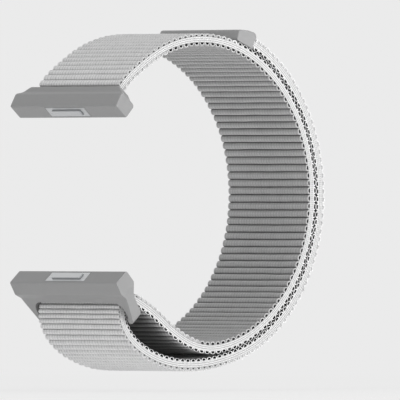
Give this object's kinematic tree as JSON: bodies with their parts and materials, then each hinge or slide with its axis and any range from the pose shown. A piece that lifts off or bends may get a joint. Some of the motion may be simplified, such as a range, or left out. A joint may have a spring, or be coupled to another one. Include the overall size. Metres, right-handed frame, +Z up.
{
  "type": "nylon watch strap",
  "caption": "Ribbed nylon hook-and-loop watch strap, closed as worn, with a sliding case connector at each end.",
  "frame": {"origin": "on the long axis of the upper connector's rail, midway across the strap", "axes": "+X across the strap, +Y from the watch face to the back of the wrist, +Z up from the ring connector to the upper connector"},
  "size_m": [0.0308, 0.0678, 0.0716],
  "materials": {
    "core_nylon": "matte woven",
    "rib_nylon": "matte ribbed knit",
    "tab_polymer": "satin",
    "hook_nylon": "hook pile",
    "connector_polymer": "satin",
    "bar_steel": "ground",
    "spring_steel": "rolled"
  },
  "bodies": {
    "top_connector": {"top_connector_body": "connector_polymer", "top_anchor_bar": "bar_steel", "top_latch_frame": "bar_steel", "top_latch_spring": "spring_steel"},
    "top_latch": {"top_latch_plate": "bar_steel"},
    "strap": {"wrist_leg_webbing": "core_nylon", "wrist_leg_outer_ribs": "rib_nylon", "wrist_leg_inner_ribs": "rib_nylon", "fold_webbing": "core_nylon", "fold_outer_ribs": "rib_nylon", "fold_inner_ribs": "rib_nylon", "return_leg_webbing": "core_nylon", "return_leg_outer_ribs": "rib_nylon", "return_leg_inner_ribs": "rib_nylon"},
    "tail": {"tail_webbing": "core_nylon", "tail_outer_ribs": "rib_nylon", "tail_inner_ribs": "rib_nylon"},
    "tail_end": {"tail_end_webbing": "core_nylon", "tail_end_outer_ribs": "rib_nylon", "tail_end_inner_ribs": "rib_nylon", "end_tab": "tab_polymer", "hook_patch": "hook_nylon"},
    "ring_connector": {"ring_frame": "connector_polymer", "ring_bar": "bar_steel", "ring_latch_frame": "bar_steel", "ring_latch_spring": "spring_steel"},
    "ring_latch": {"ring_latch_plate": "bar_steel"}
  },
  "joints": [
    {"name": "strap_pivot", "type": "hinge", "parent": "top_connector", "child": "strap", "pos_m": [0, 0.00025, 0.00031], "axis": [1, 0, 0], "range_deg": [-8, 8]},
    {"name": "ring_pivot", "type": "hinge", "parent": "strap", "child": "ring_connector", "pos_m": [0, 0.00458, -0.04417], "axis": [1, 0, 0], "range_deg": [-30, 40]},
    {"name": "tail_peel", "type": "hinge", "parent": "strap", "child": "tail", "pos_m": [0, 0.0638, -0.02651], "axis": [-1, 0, 0], "range_deg": [0, 50]},
    {"name": "tail_end_peel", "type": "hinge", "parent": "tail", "child": "tail_end", "pos_m": [0, 0.05968, -0.00164], "axis": [-1, 0, 0], "range_deg": [0, 60]},
    {"name": "top_latch_press", "type": "slide", "parent": "top_connector", "child": "top_latch", "axis": [0, 0.6293, 0.7771], "range_m": [0, 0.0004], "stiffness_N_per_m": 400, "deforming": ["top_latch_spring"]},
    {"name": "ring_latch_press", "type": "slide", "parent": "ring_connector", "child": "ring_latch", "axis": [0, 0.6293, -0.7771], "range_m": [0, 0.0004], "stiffness_N_per_m": 400, "deforming": ["ring_latch_spring"]}
  ]
}
